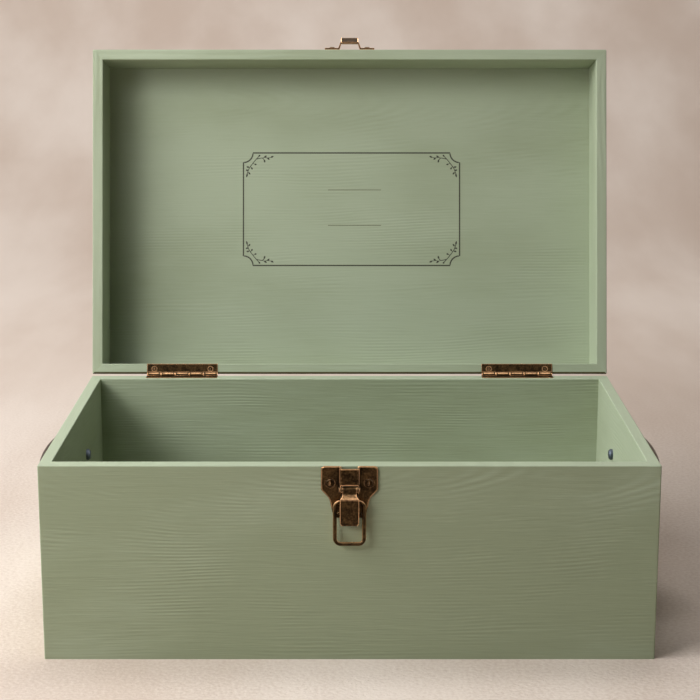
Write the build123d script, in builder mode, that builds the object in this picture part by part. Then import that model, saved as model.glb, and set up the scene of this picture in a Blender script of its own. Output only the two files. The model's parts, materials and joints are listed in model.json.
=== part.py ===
"""Keepsake box with a lift-up lid, two stop hinges, a toggle latch and a cup pull on each end.

Millimetres. The origin is the middle of the underside, +X is to the right, +Y to the back and +Z up.
The lid stands open against its hinge stops. It is drawn shut, and on_lid() turns each of its planes
about the hinge pins to where the open lid has them.
"""

import os
from math import cos, radians, sin

from build123d import *

os.makedirs("parts", exist_ok=True)

# Boards of the box and of its lid. The front and back boards of the box are the long boards
box_width = 380.0
box_depth = 240.0
body_height = 125.0
lid_height = 46.0
board = 7.5
long_board = 10.0
corner_radius = 0.9
arris_radius = 0.6
rim_gap = 1.0
lid_open_angle = 102.8

# Thin panels, let into rebates at the bottom of the box and at the top of the lid
bottom_thickness = 4.0
lid_panel_thickness = 5.0
rebate_width = 4.0
panel_clearance = 0.15

# Square panel pins that hold the bottom, their ends level with it
panel_pin_width = 1.2
panel_pin_length = 14.0
long_side_pins = 4
long_side_pin_inset = 28.0
short_side_pin_inset = 60.0

# Hinges: two leaves on one pin, with a flange behind the knuckles that stops the lid
hinge_inset = 66.5
hinge_length = 52.0
leaf_thickness = 1.0
leaf_gap = 0.2
knuckle_count = 5
knuckle_gap = 0.2
hinge_pin_radius = 0.95
running_clearance = 0.05
hinge_setback = 0.7
hinge_room = 0.2
stop_reach = 5.2
stop_thickness = 1.0
stop_play = 0.6

# Screws
seat_clearance = 0.05
tip_room = 0.6
hinge_screw_pitch = 41.4
hinge_screw_head_radius = 2.0
hinge_screw_radius = 1.2
hinge_screw_length = 10.0
plate_screw_head_radius = 2.4
plate_screw_head_height = 1.2
plate_screw_radius = 1.3
plate_screw_length = 6.2
recess_width = 0.55
recess_depth = 0.6

# Latch plate: x from the middle, y from the rim of the box, z out from the front board
latch_width = 34.8
latch_height = 32.7
latch_thickness = 1.2
wing_height = 14.9
waist_half_width = 12.4
waist_drop = 20.3
neck_half_width = 10.4
neck_drop = 29.6
foot_half_width = 8.0
wing_top_radius = 2.4
wing_foot_radius = 3.0
waist_radius = 6.0
neck_radius = 2.0
foot_radius = 1.5
notch_radius = 2.2
latch_edge_bevel = 0.4
plate_screw_spread = 24.0
plate_screw_drop = 10.5
dimple_radius = 3.1
dimple_depth = 0.5
bump_radius = 1.1
bump_top_radius = 0.6
bump_rise = 0.7
bump_spread = 13.6
bump_drop = 30.2

# Raised bridge of the latch plate, and the ears that carry the lever
bridge_half_width = 5.75
bridge_wall = 1.25
bridge_projection = 6.0
bridge_top_drop = 0.5
bridge_height = 10.4
bridge_corner = 0.9
ear_radius = 2.9
pivot_drop = 14.0
pivot_projection = 4.0
pivot_radius = 1.0
pivot_head_radius = 1.5
pivot_head_height = 0.6

# Latch lever
lever_eye_radius = 2.45
lever_neck_half_width = 4.2
lever_half_width = 5.8
lever_cheek = 1.25
lever_skin = 1.3
lever_length = 22.8
lever_kink_drop = 2.3
lever_kink_projection = 6.7
lever_crest_drop = 4.8
lever_crest_projection = 9.2
lever_kink_radius = 1.5
lever_crest_radius = 1.4
lever_tip_rounding = 0.5
lever_tip_projection = 5.3
lever_tip_corner = 2.4
shoulder_radius = 1.0
hip_radius = 2.0
cheek_radius = 2.25

# Latch loop, a bent wire whose two ends turn in the lever's cheeks
loop_wire_radius = 1.25
loop_half_width = 8.95
loop_length = 26.8
loop_corner_radius = 3.6
loop_pivot_drop = 7.7
loop_pivot_projection = 3.7

# Strike plate on the lid: y up from the lid's rim, z out from the front rail
strike_width = 36.7
strike_start = 0.5
strike_height = 10.0
strike_thickness = 1.3
strike_corner = 1.6
arch_half_width = 6.8
arch_spread = 2.0
arch_projection = 5.6
arch_height = 2.3
lip_half_width = 6.2
lip_projection = 9.6
lip_height = 6.2
lip_bend = 1.0
lip_edge = 0.3
strike_screw_spread = 26.0
strike_screw_rise = 5.3

# Cup pulls, one on each end
cup_length = 89.0
cup_height = 35.0
cup_projection = 20.0
cup_dome_radius = 27.0
cup_wall = 1.7
cup_bottom_height = 79.0
cup_post_spread = 64.0
cup_post_rise = 10.5
cup_post_radius = 3.6
handle_bolt_radius = 2.0
handle_bolt_length = 13.0
handle_bolt_head_radius = 3.8
handle_bolt_head_height = 2.6
handle_bolt_head_bevel = 1.1

# Sizes that follow from those above
half_width = box_width / 2
half_depth = box_depth / 2
lid_rim = body_height + rim_gap
lid_top = lid_rim + lid_height
leaf_middle = half_depth - board / 2
hinge_y = half_depth + hinge_setback
hinge_z = body_height + rim_gap / 2
leaf_seat = leaf_gap / 2 + leaf_thickness
knuckle_pitch = hinge_length / knuckle_count
knuckle_radius = hinge_pin_radius + running_clearance + leaf_thickness
knuckle_reach = knuckle_radius + hinge_room
stop_angle = lid_open_angle / 2 + stop_play
mitre_length = (board**2 + long_board**2) ** 0.5
over = 1.0

SCREW_TURNS = (25, 70)
LEAF_FIRST_KNUCKLE = {"body": 0, "lid": 1}
SIDES = {"front": (0, -1), "back": (0, 1), "left": (-1, 0), "right": (1, 0)}
ENDS = {"left": -1, "right": 1}
BODY_WALLS = (board, long_board)
LID_WALLS = (board, board)
HINGES = {"left": hinge_inset - half_width, "right": half_width - hinge_inset}


def on_lid(plane):
    """The plane of the shut lid, turned about the hinge pins to where the open lid has it."""
    turn = radians(lid_open_angle)
    opened = Plane((0, hinge_y, hinge_z), x_dir=(1, 0, 0), z_dir=(0, sin(turn), cos(turn)))
    return Plane(opened.location * Location((0, -hinge_y, -hinge_z)) * plane.location)


lid_up = Axis((0, hinge_y, hinge_z), on_lid(Plane.XY).z_dir)


def save(name, part):
    """Label a finished piece and write its file."""
    part.label = name
    export_step(part, f"parts/{name}.step")


# ---------------------------------------------------------------------------------------------
# Boards: four mitred boards make the box, four mitred rails make the lid


def ring_share(plane, walls, rebate, side):
    """Plan of one side of a ring of boards, mitred at both its corners.

    The walls are the thickness of the end boards and that of the long boards, before the rebate.
    """
    x, y = SIDES[side]
    end_wall, long_wall = walls
    inner_width = half_width - 2 * end_wall
    inner_depth = half_depth - 2 * long_wall
    if y:
        wedge = [(-half_width, y * half_depth), (half_width, y * half_depth)]
        wedge += [(inner_width, y * inner_depth), (-inner_width, y * inner_depth)]
    else:
        wedge = [(x * half_width, -half_depth), (x * half_width, half_depth)]
        wedge += [(x * inner_width, inner_depth), (x * inner_width, -inner_depth)]
    with BuildSketch(plane) as share:
        RectangleRounded(box_width, box_depth, corner_radius)
        hollow_width = box_width - 2 * (end_wall - rebate)
        hollow_depth = box_depth - 2 * (long_wall - rebate)
        Rectangle(hollow_width, hollow_depth, mode=Mode.SUBTRACT)
        Polygon(*wedge, align=None, mode=Mode.INTERSECT)
    return share.sketch


def ease(edges):
    """Round the edges along a board and at its corners, and leave the mitre's edges sharp."""
    along = edges.filter_by(lambda e: e.geom_type == GeomType.CIRCLE or e.length > 2 * mitre_length)
    fillet(along, arris_radius)


def drill(faces, radius, depth):
    """Blind round holes into the wood, one behind each plane."""
    for face in faces:
        with BuildSketch(face) as hole:
            Circle(radius)
        extrude(hole.sketch, amount=-depth, mode=Mode.SUBTRACT)


def bottom_pin_places():
    """Middles of the panel pins, along the middle of the rebate on all four sides."""
    end_inset = board - rebate_width / 2
    long_inset = long_board - rebate_width / 2
    first = long_side_pin_inset - half_width
    pitch = -2 * first / (long_side_pins - 1)
    short_side_y = half_depth - short_side_pin_inset
    places = []
    for index in range(long_side_pins):
        for y in (long_inset - half_depth, half_depth - long_inset):
            places.append((first + index * pitch, y))
    for y in (-short_side_y, short_side_y):
        for x in (end_inset - half_width, half_width - end_inset):
            places.append((x, y))
    return Locations(*places)


def bottom_pin_holes(start, amount):
    """Square holes that fit the panel pins, cut upwards from a height."""
    width = panel_pin_width + 2 * seat_clearance
    with BuildSketch(Plane.XY.offset(start)) as pin_holes:
        with bottom_pin_places():
            Rectangle(width, width)
    extrude(pin_holes.sketch, amount=amount, mode=Mode.SUBTRACT)


def body_board(side):
    """One board of the box, with a rebate for the bottom panel and holes for its pins."""
    extrude(ring_share(Plane.XY, BODY_WALLS, rebate_width, side), amount=bottom_thickness)
    upper = Plane.XY.offset(bottom_thickness)
    extrude(ring_share(upper, BODY_WALLS, 0, side), amount=body_height - bottom_thickness)
    bottom_pin_holes(bottom_thickness, panel_pin_length + tip_room - bottom_thickness)


def lid_rail(side):
    """One rail of the lid, with the rebate for the lid panel along its upper inner edge."""
    rebate_floor = lid_top - lid_panel_thickness
    lower = on_lid(Plane.XY.offset(lid_rim))
    extrude(ring_share(lower, LID_WALLS, 0, side), amount=rebate_floor - lid_rim)
    upper = on_lid(Plane.XY.offset(rebate_floor))
    extrude(ring_share(upper, LID_WALLS, rebate_width, side), amount=lid_panel_thickness)


# ---------------------------------------------------------------------------------------------
# Where the hinges and the screws stand


def hinge_section(x_middle, along, leaf):
    """Plane square to the pin, with +X to the back and +Y into the rim that the leaf is let into."""
    if leaf == "lid":
        origin = (x_middle - hinge_length / 2 + along, hinge_y, hinge_z)
        return on_lid(Plane(origin, x_dir=(0, 1, 0), z_dir=(1, 0, 0)))
    origin = (x_middle + hinge_length / 2 - along, hinge_y, hinge_z)
    return Plane(origin, x_dir=(0, 1, 0), z_dir=(-1, 0, 0))


def hinge_screw_faces(leaf, x_middle):
    """Planes on the bare face of a leaf, one at each of its two screws, facing out of the rim."""
    faces = []
    for x in (x_middle - hinge_screw_pitch / 2, x_middle + hinge_screw_pitch / 2):
        if leaf == "lid":
            faces.append(on_lid(Plane((x, leaf_middle, hinge_z + leaf_gap / 2), z_dir=(0, 0, -1))))
        else:
            faces.append(Plane((x, leaf_middle, hinge_z - leaf_gap / 2), z_dir=(0, 0, 1)))
    return faces


def cut_hinge_seats(leaf):
    """Housings for both leaves in a back board, with room for the knuckles."""
    for x_middle in HINGES.values():
        with BuildSketch(hinge_section(x_middle, -hinge_room, leaf)) as seat:
            with Locations((over, leaf_seat)):
                seat_width = over + hinge_setback + board + seat_clearance
                Rectangle(seat_width, leaf_seat + over, align=(Align.MAX, Align.MAX))
            Circle(knuckle_reach)
        extrude(seat.sketch, amount=hinge_length + 2 * hinge_room, mode=Mode.SUBTRACT)
        pilot_depth = hinge_screw_length + tip_room
        drill(hinge_screw_faces(leaf, x_middle), hinge_screw_radius + seat_clearance, pilot_depth)


def screw_pair(face, spread, rise, height):
    """Planes for two screws, spread apart on a face and standing at a height above it."""
    places = [(-spread / 2, rise, height), (spread / 2, rise, height)]
    return [Plane(face.location * Location(place)) for place in places]


front_face = Plane((0, -half_depth, body_height), x_dir=(1, 0, 0), z_dir=(0, -1, 0))
strike_face = on_lid(Plane((0, -half_depth, lid_rim), x_dir=(1, 0, 0), z_dir=(0, -1, 0)))
dimple_floor = latch_thickness - dimple_depth
latch_screw_faces = screw_pair(front_face, plate_screw_spread, -plate_screw_drop, dimple_floor)
strike_screw_faces = screw_pair(strike_face, strike_screw_spread, strike_screw_rise, strike_thickness)

# ---------------------------------------------------------------------------------------------
# Box body

with BuildPart() as front_panel:
    body_board("front")
    ease(front_panel.edges().group_by(Axis.Z)[-1])
    drill(latch_screw_faces, plate_screw_radius + seat_clearance, plate_screw_length + tip_room)
save("front_panel", front_panel.part)

with BuildPart() as back_panel:
    body_board("back")
    ease(back_panel.edges().group_by(Axis.Z)[-1])
    cut_hinge_seats("body")
save("back_panel", back_panel.part)


def cup_plane(end, inset):
    """Plane along an end board at the foot of its cup pull, facing out of the box."""
    return Plane((end * (half_width - inset), 0, cup_bottom_height), x_dir=(0, end, 0), z_dir=(end, 0, 0))


def cup_posts():
    """The two posts of a cup pull on its plane."""
    return Locations((-cup_post_spread / 2, cup_post_rise), (cup_post_spread / 2, cup_post_rise))


for end_name, end in ENDS.items():
    with BuildPart() as end_panel:
        body_board(end_name)
        ease(end_panel.edges().group_by(Axis.Z)[-1])
        with BuildSketch(cup_plane(end, -over)) as bolt_holes:
            with cup_posts():
                Circle(handle_bolt_radius + seat_clearance)
        extrude(bolt_holes.sketch, amount=-(board + 2 * over), mode=Mode.SUBTRACT)
    save(f"{end_name}_panel", end_panel.part)

with BuildPart() as bottom_panel:
    end_margin = board - rebate_width + panel_clearance
    long_margin = long_board - rebate_width + panel_clearance
    with BuildSketch() as bottom_plan:
        Rectangle(box_width - 2 * end_margin, box_depth - 2 * long_margin)
    extrude(amount=bottom_thickness)
    bottom_pin_holes(0, bottom_thickness)
save("bottom_panel", bottom_panel.part)

with BuildPart() as bottom_pins:
    with BuildSketch() as pin_sections:
        with bottom_pin_places():
            Rectangle(panel_pin_width, panel_pin_width)
    extrude(amount=panel_pin_length)
save("bottom_pins", bottom_pins.part)

# ---------------------------------------------------------------------------------------------
# Lid

for side in SIDES:
    with BuildPart() as rail:
        lid_rail(side)
        ease(rail.edges().group_by(lid_up)[0])
        top = rail.edges().group_by(lid_up)[-1]
        ease(top.filter_by(GeomType.CIRCLE) + top.sort_by(SortBy.LENGTH)[-1:])
        if side == "front":
            drill(strike_screw_faces, plate_screw_radius + seat_clearance, plate_screw_length + tip_room)
        if side == "back":
            cut_hinge_seats("lid")
    save(f"lid_{side}_rail", rail.part)

with BuildPart() as lid_panel:
    margin = board - rebate_width + panel_clearance
    with BuildSketch(on_lid(Plane.XY.offset(lid_top - lid_panel_thickness))) as panel_plan:
        Rectangle(box_width - 2 * margin, box_depth - 2 * margin)
    extrude(amount=lid_panel_thickness)
save("lid_panel", lid_panel.part)

# ---------------------------------------------------------------------------------------------
# Screws


def screw_profile_plane(face):
    """Plane through a screw's axis, with +X across the head and +Y out of it."""
    return Plane(face.origin, x_dir=face.x_dir, z_dir=-face.y_dir)


def cross_recess(face, head_radius, top, turn):
    """Cross-shaped driver recess, half as wide as the head, whose top is at a height above the plane."""
    with BuildSketch(face.offset(top).rotated((0, 0, turn))) as cross:
        Rectangle(head_radius, recess_width)
        Rectangle(recess_width, head_radius)
    extrude(cross.sketch, amount=-recess_depth, mode=Mode.SUBTRACT)


def turned_screw(face, head, radius, length):
    """Turn a screw about its axis: the points of its head from the top down, then shank and tip."""
    shank = [(radius, -length + 2 * radius), (0, -length)]
    with BuildSketch(screw_profile_plane(face)) as half:
        with BuildLine():
            Polyline(*head, *shank, close=True)
        make_face()
    revolve(half.sketch, axis=Axis(face.origin, face.z_dir))


def countersunk_screw(face, turn):
    """Flat-headed screw, its head level with the plane."""
    cone = hinge_screw_head_radius - hinge_screw_radius
    head = [(0, 0), (hinge_screw_head_radius, 0), (hinge_screw_radius, -cone)]
    turned_screw(face, head, hinge_screw_radius, hinge_screw_length)
    cross_recess(face, hinge_screw_head_radius, 0, turn)


def pan_head_screw(face, turn):
    """Screw with a low head, bevelled round its flat top, that stands on the plane."""
    radius, height = plate_screw_head_radius, plate_screw_head_height
    head = [(0, height), (radius - height / 2, height), (radius, height / 2), (radius, 0)]
    head.append((plate_screw_radius, 0))
    turned_screw(face, head, plate_screw_radius, plate_screw_length)
    cross_recess(face, radius, height, turn)


with BuildPart() as latch_plate_screws:
    for face, turn in zip(latch_screw_faces, SCREW_TURNS):
        pan_head_screw(face, turn)
save("latch_plate_screws", latch_plate_screws.part)

with BuildPart() as strike_screws:
    for face, turn in zip(strike_screw_faces, reversed(SCREW_TURNS)):
        pan_head_screw(face, turn)
save("strike_screws", strike_screws.part)

for leaf in ("body", "lid"):
    with BuildPart() as hinge_screws:
        for x_middle in HINGES.values():
            for face, turn in zip(hinge_screw_faces(leaf, x_middle), SCREW_TURNS):
                countersunk_screw(face, turn)
    save(f"hinge_screws_{leaf}", hinge_screws.part)

# ---------------------------------------------------------------------------------------------
# Hinges


def hinge_leaf(x_middle, leaf):
    """Plate let into the rim, every other knuckle, and the flange that stops the lid."""
    with BuildSketch(hinge_section(x_middle, 0, leaf)) as plate:
        with Locations((-knuckle_reach, leaf_seat)):
            plate_width = hinge_setback + board - knuckle_reach
            Rectangle(plate_width, leaf_thickness, align=(Align.MAX, Align.MAX))
        with PolarLocations(knuckle_reach, 1, start_angle=stop_angle):
            Rectangle(stop_reach - knuckle_reach, stop_thickness, align=(Align.MIN, Align.MIN))
    extrude(plate.sketch, amount=hinge_length)
    for index in range(LEAF_FIRST_KNUCKLE[leaf], knuckle_count, 2):
        start = index * knuckle_pitch + knuckle_gap / 2
        with BuildSketch(hinge_section(x_middle, start, leaf)) as knuckle:
            Circle(knuckle_radius)
            with Locations((0, leaf_seat)):
                Rectangle(knuckle_reach, leaf_thickness, align=(Align.MAX, Align.MAX))
            Rectangle(knuckle_reach, stop_thickness, rotation=stop_angle, align=(Align.MIN, Align.MIN))
            Circle(hinge_pin_radius + running_clearance, mode=Mode.SUBTRACT)
        extrude(knuckle.sketch, amount=knuckle_pitch - knuckle_gap)
    with Locations(*hinge_screw_faces(leaf, x_middle)):
        head_room = hinge_screw_head_radius + seat_clearance
        CounterSinkHole(hinge_screw_radius + seat_clearance, head_room, leaf_thickness + over, 90)


for name, x_middle in HINGES.items():
    for leaf in ("body", "lid"):
        with BuildPart() as hinge_half:
            hinge_leaf(x_middle, leaf)
        save(f"hinge_leaf_{leaf}_{name}", hinge_half.part)
    with BuildPart() as hinge_pin:
        with BuildSketch(hinge_section(x_middle, 0, "body")):
            Circle(hinge_pin_radius)
        extrude(amount=hinge_length)
    save(f"hinge_pin_{name}", hinge_pin.part)

# ---------------------------------------------------------------------------------------------
# Latch plate, with its raised bridge and ears

bridge_bottom_drop = bridge_top_drop + bridge_height
bridge_inner = bridge_half_width - bridge_wall
pivot = (pivot_projection, -pivot_drop)
loop_pivot = (loop_pivot_projection, -(pivot_drop + loop_pivot_drop))


def latch_side(x):
    """Plane across the latch at x, with +X out of the front board and +Y up from the rim."""
    return Plane((x, -half_depth, body_height), x_dir=(0, -1, 0), z_dir=(-1, 0, 0))


with BuildPart() as latch_plate:
    with BuildSketch(front_face) as plate_outline:
        with BuildLine():
            FilletPolyline(
                (bridge_inner, -bridge_bottom_drop),
                (bridge_inner, 0),
                (latch_width / 2, 0),
                (latch_width / 2, -wing_height),
                (waist_half_width, -waist_drop),
                (neck_half_width, -neck_drop),
                (foot_half_width, -latch_height),
                (0, -latch_height),
                radius=[notch_radius, wing_top_radius, wing_foot_radius, waist_radius, neck_radius, foot_radius],
            )
            Polyline((0, -latch_height), (0, -bridge_bottom_drop), (bridge_inner, -bridge_bottom_drop))
        make_face()
        mirror(about=Plane.YZ)
    extrude(amount=latch_thickness)
    chamfer(latch_plate.faces().sort_by(Axis.Y)[0].outer_wire().edges(), latch_edge_bevel)
    with Locations(*screw_pair(front_face, plate_screw_spread, -plate_screw_drop, latch_thickness)):
        screw_hole = plate_screw_radius + seat_clearance
        CounterBoreHole(screw_hole, dimple_radius, dimple_depth, latch_thickness + over)
    with Locations(*screw_pair(front_face, bump_spread, -bump_drop, latch_thickness)):
        Cone(bump_radius, bump_top_radius, bump_rise, align=(Align.CENTER, Align.CENTER, Align.MIN))
    with BuildSketch(Plane.XY.offset(body_height - bridge_top_drop)) as bridge_plan:
        with Locations((0, -half_depth)):
            Rectangle(2 * bridge_half_width, bridge_projection, align=(Align.CENTER, Align.MAX))
            fillet(bridge_plan.vertices().group_by(Axis.Y)[0], bridge_corner)
            hollow = bridge_projection - bridge_wall
            Rectangle(2 * bridge_inner, hollow, align=(Align.CENTER, Align.MAX), mode=Mode.SUBTRACT)
    extrude(amount=-bridge_height)
    for x in (bridge_half_width, -bridge_inner):
        with BuildSketch(latch_side(x)) as ear:
            with Locations(pivot):
                Circle(ear_radius)
            with Locations((0, -(pivot_drop + ear_radius))):
                ear_rise = pivot_drop + ear_radius - bridge_bottom_drop + over
                Rectangle(pivot_projection, ear_rise, align=(Align.MIN, Align.MIN))
            with Locations((pivot_projection, -pivot_drop)):
                web_reach = bridge_projection - bridge_corner - pivot_projection
                Rectangle(web_reach, pivot_drop - bridge_bottom_drop + over, align=(Align.MIN, Align.MIN))
            with Locations(pivot):
                Circle(pivot_radius + running_clearance, mode=Mode.SUBTRACT)
        extrude(amount=bridge_wall)
save("latch_plate", latch_plate.part)

with BuildPart() as latch_pivot_pin:
    pin_reach = bridge_half_width + seat_clearance
    with BuildSketch(latch_side(0)):
        with Locations(pivot):
            Circle(pivot_radius)
    extrude(amount=pin_reach, both=True)
    for x in (-pin_reach, pin_reach + pivot_head_height):
        with BuildSketch(latch_side(x)):
            with Locations(pivot):
                Circle(pivot_head_radius)
        extrude(amount=pivot_head_height)
save("latch_pivot_pin", latch_pivot_pin.part)

# ---------------------------------------------------------------------------------------------
# Latch lever: a bent skin with two cheeks, and a solid eye that turns on the pivot pin

crest_drop = pivot_drop + lever_crest_drop
tip_drop = pivot_drop + lever_length

with BuildPart() as latch_lever:
    with BuildSketch(latch_side(0)) as lever_side:
        with BuildLine():
            FilletPolyline(
                (pivot_projection + lever_eye_radius, -pivot_drop),
                (lever_kink_projection, -(pivot_drop + lever_kink_drop)),
                (lever_crest_projection, -crest_drop),
                (lever_tip_projection, -tip_drop),
                (lever_tip_projection - lever_skin, -tip_drop),
                (loop_pivot[0], loop_pivot[1] - cheek_radius),
                radius=[lever_kink_radius, lever_crest_radius, lever_tip_rounding, lever_tip_rounding],
            )
            Polyline(
                (loop_pivot[0], loop_pivot[1] - cheek_radius),
                (loop_pivot[0] - cheek_radius, loop_pivot[1]),
                (pivot_projection - lever_eye_radius, -pivot_drop),
                (pivot_projection + lever_eye_radius, -pivot_drop),
            )
        make_face()
        with Locations(pivot):
            Circle(lever_eye_radius)
        with Locations(loop_pivot):
            Circle(cheek_radius)
    extrude(amount=lever_half_width, both=True)
    with BuildSketch(front_face) as lever_front:
        with BuildLine():
            FilletPolyline(
                (0, -pivot_drop + lever_eye_radius),
                (lever_neck_half_width, -pivot_drop + lever_eye_radius),
                (lever_neck_half_width, -(pivot_drop + ear_radius + hinge_room)),
                (lever_half_width, -crest_drop),
                (lever_half_width, -tip_drop),
                (0, -tip_drop),
                radius=[0, shoulder_radius, hip_radius, lever_tip_corner],
            )
            Line((0, -tip_drop), (0, -pivot_drop + lever_eye_radius))
        make_face()
        mirror(about=Plane.YZ)
    extrude(amount=lever_crest_projection + over, mode=Mode.INTERSECT)
    with BuildSketch(latch_side(0)) as lever_hollow:
        with BuildLine():
            Polyline(
                (-over, -crest_drop),
                (lever_crest_projection - lever_skin, -crest_drop),
                (lever_tip_projection - lever_skin, -tip_drop + lever_skin),
                (-over, -tip_drop + lever_skin),
                close=True,
            )
        make_face()
    extrude(amount=lever_half_width - lever_cheek, both=True, mode=Mode.SUBTRACT)
    with BuildSketch(latch_side(0)) as lever_bores:
        with Locations(pivot):
            Circle(pivot_radius + running_clearance)
        with Locations(loop_pivot):
            Circle(loop_wire_radius + running_clearance)
    extrude(amount=lever_half_width, both=True, mode=Mode.SUBTRACT)
save("latch_lever", latch_lever.part)

with BuildPart() as latch_loop:
    with BuildLine(front_face.offset(loop_pivot_projection)) as loop_path:
        end_x = lever_half_width - lever_cheek
        bar_y = loop_pivot[1] - loop_length
        FilletPolyline(
            (end_x, loop_pivot[1]),
            (loop_half_width, loop_pivot[1]),
            (loop_half_width, bar_y),
            (-loop_half_width, bar_y),
            (-loop_half_width, loop_pivot[1]),
            (-end_x, loop_pivot[1]),
            radius=loop_corner_radius,
        )
    with BuildSketch(Plane(loop_path.line @ 0, z_dir=loop_path.line % 0)):
        Circle(loop_wire_radius)
    sweep()
save("latch_loop", latch_loop.part)

# ---------------------------------------------------------------------------------------------
# Strike plate: two flanges, a raised arch between them and a lip that holds the loop's bar

foot = arch_half_width + arch_spread
inner_foot = foot - strike_thickness
inner_half_width = arch_half_width - strike_thickness / 2
inner_projection = arch_projection - strike_thickness
arch_top = strike_start + arch_height
strike_side = on_lid(Plane((0, -half_depth, lid_rim), x_dir=(0, -1, 0), z_dir=(-1, 0, 0)))

with BuildPart() as strike_plate:
    with BuildSketch(on_lid(Plane.XY.offset(lid_rim + strike_start))) as hat:
        with Locations((0, -half_depth)):
            Rectangle(strike_width, strike_thickness, align=(Align.CENTER, Align.MAX))
        with BuildLine():
            Polyline(
                (-foot, -half_depth),
                (-arch_half_width, -(half_depth + arch_projection)),
                (arch_half_width, -(half_depth + arch_projection)),
                (foot, -half_depth),
                close=True,
            )
        make_face()
        with BuildLine():
            Polyline(
                (-inner_foot, -half_depth),
                (-inner_half_width, -(half_depth + inner_projection)),
                (inner_half_width, -(half_depth + inner_projection)),
                (inner_foot, -half_depth),
                close=True,
            )
        make_face(mode=Mode.SUBTRACT)
    extrude(amount=arch_height)
    with BuildSketch(strike_face) as flanges:
        with Locations((0, strike_start)):
            RectangleRounded(strike_width, strike_height, strike_corner, align=(Align.CENTER, Align.MIN))
            Rectangle(2 * foot, strike_height, align=(Align.CENTER, Align.MIN), mode=Mode.SUBTRACT)
    extrude(amount=strike_thickness)
    with Locations(*strike_screw_faces):
        Hole(plate_screw_radius + seat_clearance, strike_thickness + over)
    with BuildSketch(strike_side) as lip:
        with BuildLine():
            FilletPolyline(
                (inner_projection, strike_start),
                (arch_projection, strike_start),
                (arch_projection, arch_top - strike_thickness),
                (lip_projection, lip_height - strike_thickness),
                (lip_projection - strike_thickness / 2, lip_height),
                (inner_projection, arch_top),
                radius=[0, 0, lip_bend, lip_edge, lip_edge, lip_bend],
                close=True,
            )
        make_face()
    extrude(amount=lip_half_width, both=True)
save("strike_plate", strike_plate.part)

# ---------------------------------------------------------------------------------------------
# Cup pulls: a slice of a dome, open below, with two posts bolted from inside the box


def dome(end, inset):
    """Dome turned about an upright axis inside the box, inset from the outside of a cup pull.

    It bulges from the end board by the pull's projection over the pull's length. Above an upright
    skirt it curves in, to meet the board at the pull's height.
    """
    turning_radius = ((cup_length / 2) ** 2 + cup_projection**2) / (2 * cup_projection)
    skirt = cup_height - (cup_dome_radius**2 - (cup_dome_radius - cup_projection) ** 2) ** 0.5
    origin = (end * (half_width + cup_projection - turning_radius), 0, cup_bottom_height)
    inwards = Plane(origin, x_dir=(-end, 0, 0), z_dir=(0, end, 0))
    with BuildPart() as turned:
        with BuildSketch(inwards) as section:
            top = skirt + cup_dome_radius - inset
            Rectangle(turning_radius - inset, top, align=(Align.MIN, Align.MIN))
            fillet(section.vertices().sort_by_distance((0, 0, 0))[-1], cup_dome_radius - inset)
        revolve(section.sketch, axis=Axis(origin, (0, 0, 1)))
    return turned.part


for end_name, end in ENDS.items():
    outside = cup_plane(end, 0)
    outer_dome = dome(end, 0)
    inner_dome = dome(end, cup_wall)
    with BuildPart() as side_handle:
        add(outer_dome)
        add(inner_dome, mode=Mode.SUBTRACT)
        with BuildSketch(outside) as posts:
            with cup_posts():
                Circle(cup_post_radius)
        extrude(posts.sketch, amount=cup_projection)
        add(outer_dome, mode=Mode.INTERSECT)
        split(bisect_by=outside, keep=Keep.TOP)
        with BuildSketch(outside) as post_bores:
            with cup_posts():
                Circle(handle_bolt_radius + seat_clearance)
        extrude(post_bores.sketch, amount=handle_bolt_length - board + tip_room, mode=Mode.SUBTRACT)
    save(f"side_handle_{end_name}", side_handle.part)

    with BuildPart() as handle_bolts:
        inside = cup_plane(end, board)
        with BuildSketch(inside) as shanks:
            with cup_posts():
                Circle(handle_bolt_radius)
        extrude(shanks.sketch, amount=handle_bolt_length)
        with BuildSketch(inside) as heads:
            with cup_posts():
                Circle(handle_bolt_head_radius)
        extrude(heads.sketch, amount=-handle_bolt_head_height)
        outer_faces = handle_bolts.faces().filter_by(Axis.X).sort_by(Axis.X)
        rims = outer_faces[-2:] if end < 0 else outer_faces[:2]
        chamfer([edge for face in rims for edge in face.edges()], handle_bolt_head_bevel)
    save(f"handle_bolts_{end_name}", handle_bolts.part)
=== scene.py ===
import json
from math import cos, pi, radians, sin

import bpy
import numpy as np
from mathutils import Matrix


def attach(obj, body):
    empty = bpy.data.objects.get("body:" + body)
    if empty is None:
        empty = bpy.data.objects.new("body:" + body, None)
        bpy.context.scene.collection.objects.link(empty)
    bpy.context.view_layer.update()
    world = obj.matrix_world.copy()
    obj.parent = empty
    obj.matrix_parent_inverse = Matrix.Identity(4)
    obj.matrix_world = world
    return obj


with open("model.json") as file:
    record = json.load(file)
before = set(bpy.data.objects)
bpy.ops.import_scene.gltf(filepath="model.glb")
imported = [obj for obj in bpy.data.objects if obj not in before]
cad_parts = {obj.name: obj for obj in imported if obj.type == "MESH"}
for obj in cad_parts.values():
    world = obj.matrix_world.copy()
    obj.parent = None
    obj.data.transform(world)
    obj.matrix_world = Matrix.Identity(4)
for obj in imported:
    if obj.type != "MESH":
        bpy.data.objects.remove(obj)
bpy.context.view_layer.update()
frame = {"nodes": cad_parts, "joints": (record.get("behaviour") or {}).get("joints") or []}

# ---------------------------------------------------------------------------------------------
# The camera looks down into the open box from in front of it, a little above the lid's middle.
# Its lens is long, so the sides of the box run together only slightly.

camera_place = (0.0003, -1.1723, 0.4279)
camera_pitch = radians(12.37)
camera_lens = 92.46

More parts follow.
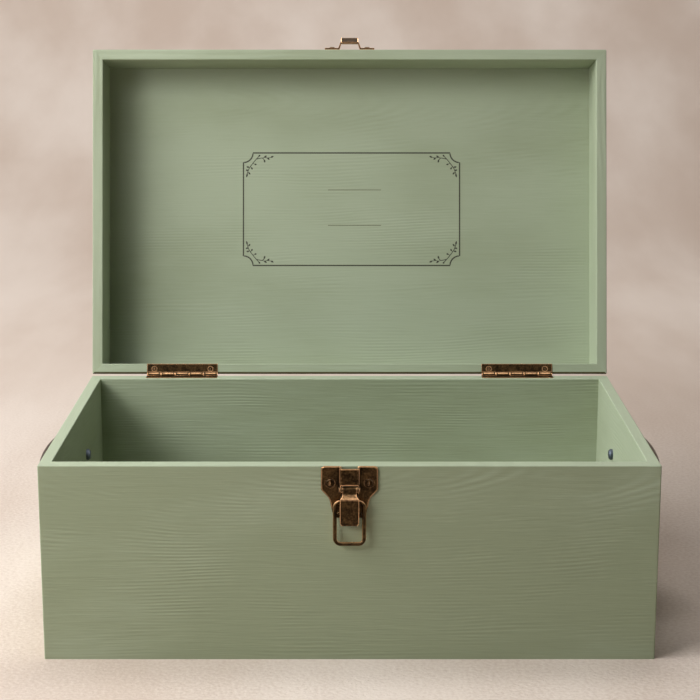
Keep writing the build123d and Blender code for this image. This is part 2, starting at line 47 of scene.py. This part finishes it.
camera = bpy.data.objects.new("camera", bpy.data.cameras.new("camera"))
camera.data.lens = camera_lens
camera.data.sensor_width = 36.0
camera.location = camera_place
camera.rotation_euler = (pi / 2 - camera_pitch, 0, 0)
bpy.context.scene.collection.objects.link(camera)
bpy.context.scene.camera = camera
bpy.context.scene.view_settings.view_transform = "Standard"

# ---------------------------------------------------------------------------------------------
# The box stands on one wide sweep of plastered board, which is the floor and turns up behind it
# into the backdrop. Its plaster is mottled pinkish beige.


def mesh_piece(name, points, faces):
    """A mesh object from an array of points, three numbers each, and an array of their quads."""
    mesh = bpy.data.meshes.new(name)
    mesh.from_pydata(points.reshape(-1, 3).tolist(), [], faces.reshape(-1, 4).tolist())
    mesh.update()
    piece = bpy.data.objects.new(name, mesh)
    bpy.context.scene.collection.objects.link(piece)
    return piece


def grid_faces(rows, columns, closed_rows=False, closed_columns=False):
    """Quads of a grid of points, row by row.

    A closed grid joins its last row or column to its first.
    """
    row = np.arange(rows if closed_rows else rows - 1)[:, None]
    column = np.arange(columns if closed_columns else columns - 1)[None, :]
    next_row = (row + 1) % rows
    next_column = (column + 1) % columns
    corners = [row * columns + column, row * columns + next_column]
    corners += [next_row * columns + next_column, next_row * columns + column]
    return np.stack(np.broadcast_arrays(*corners), axis=-1)


def srgb(red, green, blue):
    """The colour that a shader takes, from screen levels of 0 to 255."""
    level = np.array([red, green, blue]) / 255
    linear = np.where(level > 0.04045, ((level + 0.055) / 1.055) ** 2.4, level / 12.92)
    return (*linear.tolist(), 1.0)


class Field:
    """One output of a node. Arithmetic on it adds Math nodes, so a pattern reads as its formula."""

    def __init__(self, socket):
        self.socket = socket

    def node(self, kind, settings, inputs, output=0):
        """Add a node of a type: its settings first, then the values or links of its sockets."""
        tree = self.socket.id_data
        made = tree.nodes.new(kind)
        for name, value in settings.items():
            setattr(made, name, value)
        for name, value in inputs.items():
            if isinstance(value, Field):
                tree.links.new(value.socket, made.inputs[name])
            else:
                made.inputs[name].default_value = value
        return Field(made.outputs[output])

    def math(self, operation, first, second):
        return self.node("ShaderNodeMath", {"operation": operation}, {0: first, 1: second})

    def __add__(self, other):
        return self.math("ADD", self, other)

    def __sub__(self, other):
        return self.math("SUBTRACT", self, other)

    def __rsub__(self, other):
        return self.math("SUBTRACT", other, self)

    def __mul__(self, other):
        return self.math("MULTIPLY", self, other)

    def __pow__(self, other):
        return self.math("POWER", self, other)

    def sine(self):
        return self.math("SINE", self, 0.0)

    def dot(self, vector):
        settings = {"operation": "DOT_PRODUCT"}
        return self.node("ShaderNodeVectorMath", settings, {0: self, 1: vector}, "Value")

    def smooth(self, low, high):
        """0 below low and 1 above high, with a smooth step between them."""
        limits = {"Value": self, "From Min": low, "From Max": high}
        return self.node("ShaderNodeMapRange", {"interpolation_type": "SMOOTHSTEP"}, limits)

    def mix(self, low, high):
        """The colour that goes from low to high as this goes from 0 to 1."""
        return self.node("ShaderNodeMix", {"data_type": "RGBA"}, {0: self, 6: low, 7: high}, 2)

    def noise(self, scale, detail=2.0):
        """Noise of 0 to 1 over a vector, with about that many lumps in each unit of it."""
        return self.node("ShaderNodeTexNoise", {}, {"Vector": self, "Scale": scale, "Detail": detail})


def vector(x, y, z):
    """The vector whose parts are three fields."""
    return x.node("ShaderNodeCombineXYZ", {}, {"X": x, "Y": y, "Z": z})


def new_material(name):
    """A material with the standard shader. Returns it, the shader and the place on the object."""
    material = bpy.data.materials.new(name)
    material.use_nodes = True
    nodes = material.node_tree.nodes
    return material, nodes["Principled BSDF"], Field(nodes.new("ShaderNodeTexCoord").outputs["Object"])


def feed(shader, **sockets):
    """Link fields to a shader's sockets, named in words joined by underscores."""
    for name, field in sockets.items():
        shader.id_data.links.new(field.socket, shader.inputs[name.replace("_", " ")])


sweep_half_width = 2.8
sweep_front = -2.8
sweep_bend_start = 1.2
sweep_bend_radius = 0.9
sweep_top = 3.0
plaster = srgb(219, 206, 195)
plaster_dark = srgb(196, 178, 164)


def sweep_surface(rows, columns):
    """Flat floor, then a quarter circle, then a wall: a profile of rows points carried along x."""
    turn = np.linspace(0, pi / 2, rows)
    bend_y = sweep_bend_start + sweep_bend_radius * np.sin(turn)
    bend_z = sweep_bend_radius * (1 - np.cos(turn))
    profile_y = np.concatenate([[sweep_front], bend_y, [bend_y[-1]]])
    profile_z = np.concatenate([[0.0], bend_z, [sweep_top]])
    x = np.linspace(-sweep_half_width, sweep_half_width, columns)
    grid = np.broadcast_arrays(x[None, :], profile_y[:, None], profile_z[:, None])
    return np.stack(grid, axis=-1)


points = sweep_surface(rows=48, columns=3)
sweep = mesh_piece("studio_sweep", points, grid_faces(*points.shape[:2]))
sweep.data.shade_smooth()
material, shader, place = new_material("mottled_plaster")
depth = place.dot((0.0, 1.0, 0.0))
drawn_back = vector(place.dot((1.0, 0.0, 0.0)), depth * 0.3, place.dot((0.0, 0.0, 1.0)))
mottle = drawn_back.noise(scale=5.0, detail=5.0)
near = 1.0 - depth.smooth(0.2, 0.8)
specks = (place.noise(scale=380.0, detail=5.0) - 0.5) * near
cloud = (mottle + specks * 0.5).smooth(0.3, 0.72)
feed(shader, Base_Color=cloud.mix(plaster_dark, plaster))
grit = {"Height": specks, "Distance": 0.00045, "Strength": 1.0}
feed(shader, Normal=specks.node("ShaderNodeBump", {}, grit))
shader.inputs["Roughness"].default_value = 0.9
sweep.data.materials.append(material)

# ---------------------------------------------------------------------------------------------
# The studio's light: six soft lamps on the left light the box from the side, from above and from in
# front, and two light the backdrop. The room's own light is faint, but metal mirrors its bright walls
# and ceiling.


def facing_turns(aim):
    """Turns that point a lamp's back along a direction."""
    across = np.hypot(aim[0], aim[1])
    return (np.arctan2(across, aim[2]), 0.0, np.arctan2(aim[0], -aim[1]))


def area_lamp(name, place, target, size, power):
    """A square soft lamp that faces a point."""
    lamp = bpy.data.lights.new(name, "AREA")
    lamp.size = size
    lamp.energy = power
    lamp_object = bpy.data.objects.new(name, lamp)
    lamp_object.location = place
    lamp_object.visible_camera = False
    aim = np.array(place) - np.array(target)
    lamp_object.rotation_euler = facing_turns(aim)
    bpy.context.scene.collection.objects.link(lamp_object)


box_low = (0, 0, 0.10)
box_side = (0, 0, 0.15)
box_middle = (0, 0.05, 0.20)
lid_inside = (0, 0.12, 0.20)
backdrop_middle = (0, 1.90, 0.60)
area_lamp("side_lamp", (-1.70, -0.50, 0.90), box_side, size=1.0, power=11.0)
area_lamp("top_lamp", (-1.30, -0.10, 1.60), box_low, size=1.0, power=13.0)
area_lamp("window_lamp", (-1.10, -1.00, 1.10), box_middle, size=0.6, power=6.5)
area_lamp("front_lamp", (-0.75, -0.75, 0.60), box_middle, size=0.4, power=3.2)
area_lamp("key_lamp", (-0.70, -0.35, 0.77), box_middle, size=0.35, power=1.7)
area_lamp("lid_lamp", (-0.30, -0.20, 0.62), lid_inside, size=0.16, power=0.5)
area_lamp("backdrop_lamp", (0.0, 0.60, 2.40), backdrop_middle, size=0.9, power=23.0)
area_lamp("backdrop_left_lamp", (-1.30, 0.70, 1.30), backdrop_middle, size=0.8, power=7.0)

mirrored_panels = 1.55
mirrored_room = 0.2
seen_room = 0.6
even_light = 0.02

world = bpy.data.worlds.new("room")
bpy.context.scene.world = world
world.use_nodes = True
background = world.node_tree.nodes["Background"]
light_path = world.node_tree.nodes.new("ShaderNodeLightPath")
glossy = Field(light_path.outputs["Is Glossy Ray"])
camera_ray = Field(light_path.outputs["Is Camera Ray"])
direction = Field(world.node_tree.nodes.new("ShaderNodeTexCoord").outputs["Generated"])
sideways = direction.dot((1.0, 0.0, 0.0)) ** 2.0
panels = sideways.smooth(0.15, 0.8) * 0.7 + direction.dot((0.0, 0.0, 1.0)).smooth(0.1, 0.8)
mirrored = glossy * (panels * mirrored_panels + mirrored_room)
feed(background, Strength=mirrored + camera_ray * seen_room + even_light)
feed(background, Color=camera_ray.mix(srgb(255, 250, 244), srgb(244, 230, 218)))

# ---------------------------------------------------------------------------------------------
# Box and lid are made of planed boards, brushed with sage green paint. The grain runs along each
# board and shows through the paint as fine ridges, which bend round where a board was sawn across
# its growth rings. The lower back edge of the lid is painted dark, a painted shadow under its edge.
# The top of the box's rim is painted lighter as a painted sheen, and the front board darker as
# painted shade.

sage_thin = srgb(146, 155, 127)
sage_thick = srgb(166, 176, 151)
# The dark olive brown painted on the lid's lower back edge: a painted shadow.
painted_shadow_colour = srgb(62, 56, 30)
ring_spacing = 0.0023
ring_wander = 0.018
rim_sheen_start = 0.1243
rim_sheen_end = 0.1249
painted_shadow_fade = 0.0005

lid_joint = next(joint for joint in frame["joints"] if joint["name"] == "lid_hinge")
lid_turn = radians(-lid_joint["range_deg"][0])
hinge_line = np.array(lid_joint["pos_m"])
lid_back_edge = 0.120
lid_rim_height = 0.126
RIGHT = (1.0, 0.0, 0.0)
BACK = (0.0, 1.0, 0.0)
UP = (0.0, 0.0, 1.0)
LID_BACK = (0.0, cos(lid_turn), -sin(lid_turn))
LID_UP = (0.0, sin(lid_turn), cos(lid_turn))


def painted_wood(name, along, across, through, heart, flare, ridges, coat_and_shade, shift, painted_shadow=None):
    """Sage paint brushed over growth rings.

    A ring is a line of equal sqrt(w ** 2 + (flare * l) ** 2), where l and w are the distances along
    and across the board from its heart, and w wanders by slow noise. The ridges rise and fade in
    patches. Fibres and brush marks are noise drawn out along the board. The relief is multiplied by
    the board's own factor. Its paint is a little thicker or thinner than the next one's, which makes it
    lighter or darker; the front board's darker tone is painted shade. The top of the box's rim is
    painted lighter, a painted sheen where the light from above falls. A painted shadow is given as
    where it starts through and ends across the board.
    """
    material, shader, place = new_material(name)
    length = place.dot(along) - heart[0]
    width = place.dot(across) + place.dot(through) * 0.6 - heart[1]
    drawn = vector(length * 4.0 + shift, width * 16.0, width * 3.0)
    wander = width + (drawn.noise(scale=1.0, detail=2.0) - 0.5) * ring_wander
    radius = (wander ** 2.0 + (length * flare) ** 2.0) ** 0.5
    ridge = (radius * (2 * pi / ring_spacing)).sine()
    brushed = vector(length * 26.0 + shift, wander * 480.0, width * 20.0)
    streak = brushed.noise(scale=1.0, detail=2.0) - 0.5
    patched = vector(length * 14.0 + shift, width * 40.0, width * 7.0)
    patch = patched.noise(scale=1.0, detail=2.0).smooth(0.42, 0.72)
    fibre = vector(length * 60.0, width * 1900.0, width * 60.0).noise(scale=1.0, detail=1.0) - 0.5
    cloud = vector(length * 7.0, width * 18.0, width * 5.0).noise(scale=1.0, detail=4.0)
    relief = (ridge * patch * 0.4 + streak * 0.85 + fibre * 0.55) * ridges
    # The board's own tone is added here; the front board's low value is painted shade.
    thickness = cloud + relief * 0.15 + coat_and_shade
    # The top of the box's rim is painted lighter: a painted sheen where the light from above falls.
    if across == UP:
        thickness = thickness + place.dot(UP).smooth(rim_sheen_start, rim_sheen_end) * 0.4
    thickness = thickness.smooth(0.2, 0.8)
    paint = thickness.mix(sage_thin, sage_thick)
    # The lid's lower back edge is darkened here: a painted shadow under the edge.
    if painted_shadow:
        on_edge = place.dot(through).smooth(painted_shadow[0], painted_shadow[0] + painted_shadow_fade)
        off_rim = place.dot(across).smooth(painted_shadow[1], painted_shadow[1] + painted_shadow_fade)
        paint = (on_edge * (1.0 - off_rim)).mix(paint, painted_shadow_colour)
    feed(shader, Base_Color=paint)
    feed(shader, Roughness=streak * 0.3 + 0.62)
    bump = {"Height": relief, "Distance": 0.00014, "Strength": 1.0}
    feed(shader, Normal=relief.node("ShaderNodeBump", {}, bump))
    shader.inputs["Specular IOR Level"].default_value = 0.2
    return material


# Each board's directions along, across and through its grain, then the heart of its rings, their
# flare, the height of its ridges and its paint tone, whose low value on the front board is painted
# shade
boards = {
    "front_panel": (RIGHT, UP, BACK, (-0.02, 0.052), 0.15, 1.35, -0.2),
    "back_panel": (RIGHT, UP, BACK, (0.0, -0.12), 0.05, 1.25, -0.02),
    "left_panel": (BACK, UP, RIGHT, (0.3, 0.05), 0.12, 1.0, 0.0),
    "right_panel": (BACK, UP, RIGHT, (-0.3, 0.09), 0.12, 1.0, 0.2),
    "bottom_panel": (RIGHT, BACK, UP, (0.1, 0.02), 0.15, 1.0, 0.0),
    "lid_front_rail": (RIGHT, LID_UP, LID_BACK, (0.2, 0.3), 0.05, 1.0, 0.04),
    "lid_back_rail": (RIGHT, LID_UP, LID_BACK, (-0.1, -0.3), 0.05, 1.0, 0.2),
    "lid_left_rail": (LID_BACK, LID_UP, RIGHT, (0.4, 0.2), 0.08, 1.0, 0.04),
    "lid_right_rail": (LID_BACK, LID_UP, RIGHT, (-0.4, 0.3), 0.08, 1.0, 0.25),
    "lid_panel": (RIGHT, LID_BACK, LID_UP, (-0.15, -0.28), 0.14, 0.8, 0.12),
}
lid_back = float(hinge_line @ LID_BACK) + lid_back_edge - hinge_line[1]
lid_rim = float(hinge_line @ LID_UP) + lid_rim_height - hinge_line[2]
painted_shadow_depth = 0.0018
painted_shadow_height = 0.0006
pattern_step = 3.7
for number, (name, grain) in enumerate(boards.items()):
    # Only the lid's back rail gets the painted shadow along its lower back edge.
    painted_shadow = (lid_back - painted_shadow_depth, lid_rim + painted_shadow_height) if name == "lid_back_rail" else None
    paint = painted_wood(f"paint_{name}", *grain, pattern_step * number, painted_shadow)
    frame["nodes"][name].material_slots[0].material = paint

# ---------------------------------------------------------------------------------------------
# Inside the lid a ticket is printed in dark olive ink: a border with hollowed corners, two short
# rules and a leafy sprig in each corner. The place for the words is left bare.

lid_hollow = 0.041
ink_thickness = 0.00005
ticket_low = np.array([-0.0809, 0.0824])
ticket_high = np.array([0.0838, 0.1682])
ticket_notch = 0.0073
border_half_width = 0.0005
rule_half_width = 0.00028
rule_ends = (-0.0165, 0.0239)
rule_places = (0.1130, 0.1400)
stem_half_width = 0.00028
twig_half_width = 0.0002
leaf_half_width = 0.0006
leaf_tip_half_width = 0.00004


def on_open_lid(flat, depth):
    """Points of the lid's inside, given across, up from its back edge and in from its rim.

    The shut lid is turned about the hinge: y' = y cos t + z sin t and z' = z cos t - y sin t.
    """
    y = lid_back_edge - flat[..., 1] - hinge_line[1]
    z = lid_rim_height + depth - hinge_line[2]
    turned_y = hinge_line[1] + y * cos(lid_turn) + z * sin(lid_turn)
    turned_z = hinge_line[2] + z * cos(lid_turn) - y * sin(lid_turn)
    return np.stack([flat[..., 0], turned_y, turned_z], axis=-1)


def ribbon(path, half_width, closed=False):
    """A flat closed strip of ink: a thin rectangle carried along a path of the lid's panel."""
    path = np.asarray(path, dtype=float)
    if closed:
        ahead = np.roll(path, -1, axis=0) - np.roll(path, 1, axis=0)
    else:
        ahead = np.gradient(path, axis=0)
    ahead /= np.linalg.norm(ahead, axis=1, keepdims=True)
    reach = np.broadcast_to(half_width, len(path))[:, None]
    side = np.stack([-ahead[:, 1], ahead[:, 0]], axis=1) * reach
    top = lid_hollow - ink_thickness
    bottom = lid_hollow + ink_thickness
    ring = [on_open_lid(path + side, top), on_open_lid(path - side, top)]
    ring += [on_open_lid(path - side, bottom), on_open_lid(path + side, bottom)]
    points = np.stack(ring, axis=1)
    faces = grid_faces(len(path), 4, closed_rows=closed, closed_columns=True).reshape(-1, 4)
    if not closed:
        last = 4 * (len(path) - 1)
        faces = np.concatenate([faces, [[3, 2, 1, 0]], [[last, last + 1, last + 2, last + 3]]])
    return points.reshape(-1, 3), faces


def joined(name, strips):
    """One piece made of many strips."""
    counts = np.cumsum([0] + [len(points) for points, _ in strips[:-1]])
    points = np.concatenate([points for points, _ in strips])
    faces = np.concatenate([faces + count for (_, faces), count in zip(strips, counts)])
    return mesh_piece(name, points, faces)


def ticket_outline(steps):
    """The ticket's edge: a rectangle with a quarter circle cut out of each corner."""
    turn = np.linspace(0, pi / 2, steps)
    arc = np.stack([np.cos(turn), np.sin(turn)], axis=1) * ticket_notch
    outline = []
    for side, end, order in ((1, 1, 1), (1, -1, -1), (-1, -1, 1), (-1, 1, -1)):
        corner = np.where([side > 0, end > 0], ticket_high, ticket_low)
        outline.append((corner - arc * (side, end))[::order])
    return np.concatenate(outline)


def leaf(base, tip):
    """A leaf that is widest in its middle: half width as sine(pi * way) ** 0.8 from base to tip."""
    way = np.linspace(0, 1, 9)
    path = np.outer(1 - way, base) + np.outer(way, tip)
    return path, leaf_half_width * np.sin(pi * way) ** 0.8 + leaf_tip_half_width


def curve(*corners):
    """A smooth line through points: Catmull-Rom pieces with eight steps each."""
    corners = np.array(corners, dtype=float)
    first = [2 * corners[0] - corners[1]]
    last = [2 * corners[-1] - corners[-2]]
    padded = np.concatenate([first, corners, last])
    before, start, end, after = padded[:-3], padded[1:-2], padded[2:-1], padded[3:]
    t = np.linspace(0, 1, 9)[1:, None, None]
    cubic = 2 * start + (end - before) * t + (2 * before - 5 * start + 4 * end - after) * t ** 2
    cubic = (cubic + (3 * start - before - 3 * end + after) * t ** 3) / 2
    return np.concatenate([corners[:1], cubic.transpose(1, 0, 2).reshape(-1, 2)])


def sprig():
    """A sprig in millimetres in from a corner of the ticket, as pairs of path and half width."""
    mm = 0.001
    stem = curve((2.7, 16.0), (3.5, 13.9), (4.6, 11.4), (7.4, 7.6), (9.9, 4.6), (12.0, 2.4))
    branch = curve((9.9, 4.7), (12.0, 4.2), (14.3, 3.9), (15.5, 4.9), (16.0, 5.6))
    runner = curve((14.3, 3.9), (16.0, 3.4), (18.2, 3.7), (20.9, 3.4))
    twigs = [curve((7.4, 7.8), (8.3, 8.4), (9.0, 8.7)), curve((5.3, 10.4), (5.9, 11.0), (6.2, 11.5))]
    leaves = [((3.0, 15.6), (2.3, 18.6)), ((3.7, 14.6), (5.2, 16.4)), ((3.7, 13.3), (1.7, 13.0))]
    leaves += [((4.5, 11.0), (2.3, 10.5)), ((6.0, 11.0), (6.9, 12.6)), ((8.3, 8.5), (10.1, 8.9))]
    leaves += [((11.6, 2.8), (12.7, 1.4)), ((15.8, 5.0), (16.4, 7.4)), ((15.6, 3.6), (17.8, 2.0))]
    leaves += [((18.0, 3.6), (19.9, 5.1)), ((20.7, 3.5), (23.0, 2.4))]
    lines = [(stem * mm, stem_half_width), (branch * mm, stem_half_width)]
    lines += [(twig * mm, twig_half_width) for twig in [runner, *twigs]]
    return lines + [leaf(np.multiply(base, mm), np.multiply(tip, mm)) for base, tip in leaves]


border = joined("ticket_border", [ribbon(ticket_outline(steps=14), border_half_width, closed=True)])
rule_lines = [[(end, height) for end in rule_ends] for height in rule_places]
rules = joined("ticket_rules", [ribbon(line, rule_half_width) for line in rule_lines])
strips = []
for sides in ((1, 1), (1, -1), (-1, 1), (-1, -1)):
    corner = np.where(np.array(sides) > 0, ticket_low, ticket_high)
    strips += [ribbon(corner + path * sides, half_width) for path, half_width in sprig()]
sprigs = joined("ticket_sprigs", strips)

ink_grain = 2600.0
material, shader, place = new_material("olive_ink")
speckle = place.noise(scale=ink_grain, detail=2.0)
feed(shader, Base_Color=speckle.smooth(0.3, 0.75).mix(srgb(24, 24, 12), srgb(60, 62, 40)))
feed(shader, Roughness=speckle * 0.2 + 0.5)
faint, faint_shader, place = new_material("faint_olive_ink")
speckle = place.noise(scale=ink_grain, detail=2.0)
feed(faint_shader, Base_Color=speckle.smooth(0.3, 0.75).mix(srgb(92, 95, 70), srgb(120, 124, 98)))
faint_shader.inputs["Roughness"].default_value = 0.6
for piece, ink in ((border, material), (rules, faint), (sprigs, material)):
    piece.data.materials.append(ink)
    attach(piece, "lid")

# ---------------------------------------------------------------------------------------------
# Hinges, latch, strike, pulls and screws are brass, darkened to an antique bronze and rubbed back
# to bright copper along the edges that hands and the buffing wheel reach. Some of the copper on the
# lever, the wire and the knuckles is painted highlight, and the screws and strike have a darker
# patina as painted shade.

patina = srgb(34, 26, 16)
patina_light = srgb(92, 70, 44)
# The bright copper of rubbed edges, also used for painted highlights.
rubbed = srgb(236, 186, 138)


def antique_bronze(name, edge_wear=15.0, reach=0.0008, wear_and_light=None, dark=patina, light=patina_light):
    """Dark patina, mottled by noise, rubbed bright where a rounded normal leaves the true one.

    The edge field is 1 less the dot product of the two normals. Hollows keep the patina, and an
    occlusion field also darkens the face colour in them as painted shade. A part's own field of wear
    and painted light is added where its function gives one.
    """
    material, shader, place = new_material(name)
    normal = Field(material.node_tree.nodes.new("ShaderNodeNewGeometry").outputs["Normal"])
    rounded = normal.node("ShaderNodeBevel", {"samples": 8}, {"Radius": reach})
    edge = 1.0 - normal.dot(rounded)
    ambient = {"samples": 8, "only_local": True}
    hollow = 1.0 - normal.node("ShaderNodeAmbientOcclusion", ambient, {"Distance": 0.003}, "AO")
    mottle = place.noise(scale=900.0, detail=4.0)
    blotch = place.noise(scale=260.0, detail=3.0)
    copper_share = edge * edge_wear - hollow * 2.0 + mottle * 0.6 - 0.36
    if wear_and_light:
        copper_share = copper_share + wear_and_light(place)
    copper_share = copper_share.smooth(0.0, 0.85)
    # In hollows the face colour is darkened by the occlusion field: painted shade.
    face = (mottle * 0.55 + blotch * 0.45 - hollow * 0.4).smooth(0.34, 0.74).mix(dark, light)
    feed(shader, Base_Color=copper_share.mix(face, rubbed))
    feed(shader, Roughness=0.4 - copper_share * 0.14)
    pits = {"Height": mottle, "Distance": 0.00012, "Strength": 0.4}
    feed(shader, Normal=mottle.node("ShaderNodeBump", {}, pits))
    shader.inputs["Metallic"].default_value = 1.0
    return material


def lever_wear_and_highlight(place):
    """The lever is rubbed along its crest and, less, on its neck, both also painted highlight. Its eye
    keeps the patina.
    """
    crest = (0.1044, 0.1062)
    neck_top = (0.1064, 0.1074)
    eye_bottom = (0.1086, 0.1096)
    height = place.dot(UP)
    neck = height.smooth(*crest) - height.smooth(*neck_top) * 0.35
    eye = height.smooth(*eye_bottom)
    return neck * (place.noise(scale=500.0, detail=3.0) * 0.4 + 0.25) - eye * 2.0


def wire_wear_and_light(place):
    """The wire's sides are rubbed bright, also painted highlight, and its front keeps the patina as
    painted shade.
    """
    front = (0.12425, 0.12485)
    return 0.75 - (place.dot(BACK) * -1.0).smooth(*front) * 0.95


def plate_patina_and_shade(place):
    """The plate keeps its patina in the screws' dimples, where it is also painted shade, on the pivot's
    ears and behind the wire.
    """
    screw_side, screw_height, dimple = 0.0120, 0.1145, (0.0040, 0.0050)
    pivot_side, pivot_height, ear = 0.0066, 0.1110, (0.0030, 0.0038)
    wire_top = (0.0980, 0.0990)
    side = (place.dot(RIGHT) ** 2.0) ** 0.5
    height = place.dot(UP)
    from_screw = ((side - screw_side) ** 2.0 + (height - screw_height) ** 2.0) ** 0.5
    from_pivot = ((side - pivot_side) ** 2.0 + (height - pivot_height) ** 2.0) ** 0.5
    shelter = from_screw.smooth(*dimple) * from_pivot.smooth(*ear)
    return (shelter * height.smooth(*wire_top) - 1.0) * 2.0


def knuckle_wear_and_highlight(place):
    """The knuckles are rubbed along their up-facing crests, which stand proud of the leaves; this is
    also painted highlight.
    """
    pin_back, pin_up = 0.1207, 0.1255
    barrel = (0.0021, 0.0025)
    hinge_end, knuckle_length = 0.0975, 0.0104
    crest = (0.0012, 0.0019)
    back = place.dot(BACK) - pin_back
    up = place.dot(UP) - pin_up
    on_barrel = 1.0 - ((back ** 2.0 + up ** 2.0) ** 0.5).smooth(*barrel)
    side = (place.dot(RIGHT) ** 2.0) ** 0.5
    knuckle = (((side - hinge_end) * (pi / knuckle_length)).sine() ** 2.0).smooth(0.02, 0.3)
    return on_barrel * knuckle * (up * 0.95 - back * 0.3).smooth(*crest) * 0.42


edge_round = 0.00022


def round_edges(node):
    """Round a metal part's sharp edges, so that they catch the light."""
    weld = node.modifiers.new("weld", "WELD")
    weld.merge_threshold = 0.000002
    flat = node.modifiers.new("flat", "DECIMATE")
    flat.decimate_type = "DISSOLVE"
    flat.angle_limit = radians(0.5)
    bevel = node.modifiers.new("bevel", "BEVEL")
    bevel.width = edge_round
    bevel.segments = 2
    bevel.limit_method = "ANGLE"
    bevel.angle_limit = radians(32)
    smooth = node.modifiers.new("smooth", "WEIGHTED_NORMAL")
    smooth.weight = 60


hinge_leaves = (
    "hinge_leaf_body_left", "hinge_leaf_body_right", "hinge_leaf_lid_left", "hinge_leaf_lid_right")
pulls = ("side_handle_left", "side_handle_right")
bronzes = {
    antique_bronze("hinge_bronze", wear_and_light=knuckle_wear_and_highlight): hinge_leaves,
    antique_bronze("plate_bronze", reach=0.0012, wear_and_light=plate_patina_and_shade): ("latch_plate",),
    antique_bronze("lever_bronze", wear_and_light=lever_wear_and_highlight): ("latch_lever",),
    antique_bronze("wire_bronze", wear_and_light=wire_wear_and_light): ("latch_loop",),
    # The screws, pins and strike get a darker patina: painted shade against the light they mirror.
    antique_bronze("screw_bronze", edge_wear=3.0, dark=srgb(24, 18, 10), light=srgb(64, 48, 28)): (
        "latch_plate_screws", "strike_screws", "hinge_screws_body", "hinge_screws_lid",
        "hinge_pin_left", "hinge_pin_right", "latch_pivot_pin"),
    antique_bronze("pull_bronze", edge_wear=4.0): pulls,
    antique_bronze("strike_bronze", edge_wear=6.0, dark=srgb(16, 11, 6), light=srgb(44, 32, 20)): (
        "strike_plate",),
}
for material, names in bronzes.items():
    for name in names:
        frame["nodes"][name].material_slots[0].material = material
for name in ("latch_plate", "latch_lever", "strike_plate", *hinge_leaves, *pulls):
    round_edges(frame["nodes"][name])

# ---------------------------------------------------------------------------------------------
# The pulls' bolts and the panel pins are plain steel, plated with zinc. They are never rubbed and
# have only the dull crystals of the plating.

material, shader, place = new_material("zinc")
zinc_mottle = place.noise(scale=600.0, detail=3.0)
feed(shader, Base_Color=zinc_mottle.mix(srgb(58, 64, 74), srgb(104, 112, 124)))
feed(shader, Roughness=zinc_mottle * 0.3 + 0.35)
shader.inputs["Metallic"].default_value = 1.0
for name in ("handle_bolts_left", "handle_bolts_right", "bottom_pins"):
    frame["nodes"][name].material_slots[0].material = material
